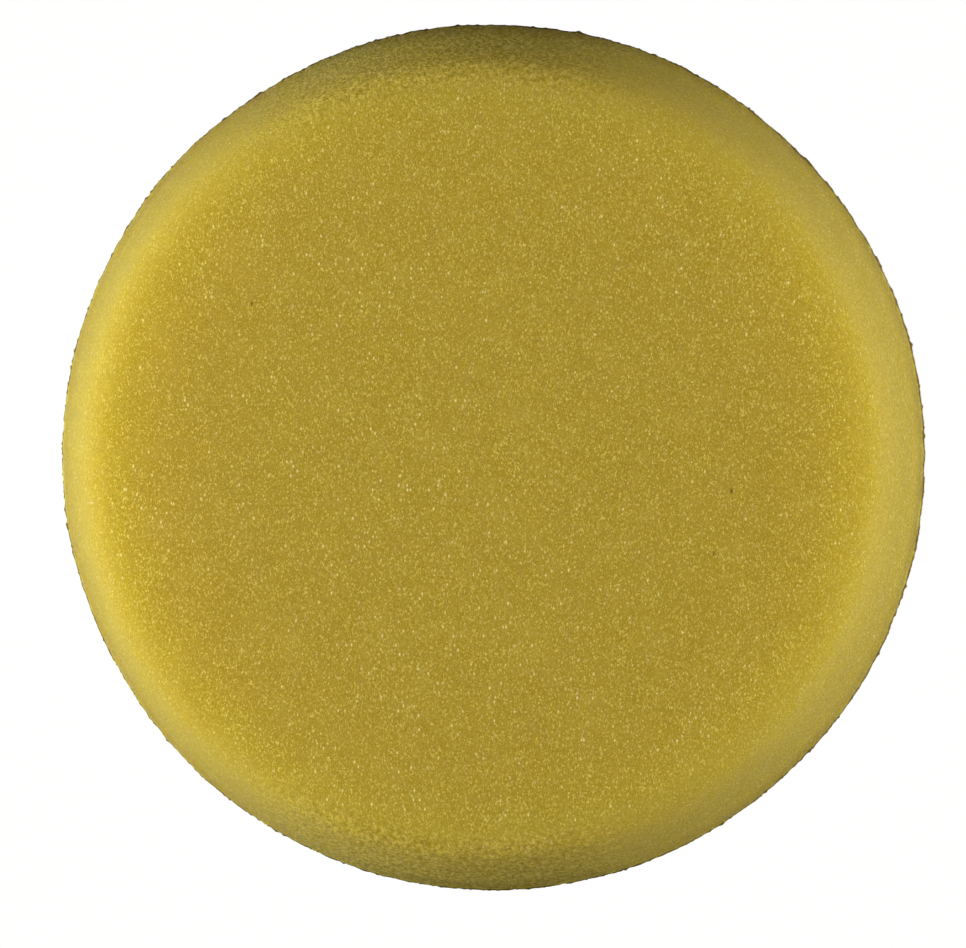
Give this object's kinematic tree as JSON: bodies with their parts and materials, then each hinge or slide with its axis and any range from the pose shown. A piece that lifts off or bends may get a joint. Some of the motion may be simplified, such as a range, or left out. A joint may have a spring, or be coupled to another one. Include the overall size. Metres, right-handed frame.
{
  "type": "polishing pad",
  "caption": "Round foam polishing pad with a flat working face, a side wall that flares to the back, and a hook-and-loop backing for a machine's backing plate.",
  "frame": {"origin": "middle of the loop face, which a backing plate grips and on which the pad lies", "axes": "+Z out of the working face, along the axis that the pad turns about; X and Y are alike, since the pad is round"},
  "size_m": [0.15, 0.15, 0.03],
  "materials": {
    "foam": "open-cell polyurethane foam, yellow, matt with fine bright cell edges",
    "hot_melt": "translucent hot-melt film",
    "coat": "milky binder coat",
    "knit": "warp-knitted nylon",
    "loops": "brushed nylon loops with a soft sheen"
  },
  "bodies": {
    "root": {"foam_body": "foam", "adhesive_film": "hot_melt", "lock_coat": "coat", "ground_cloth": "knit", "loop_pile": "loops"}
  },
  "joints": []
}
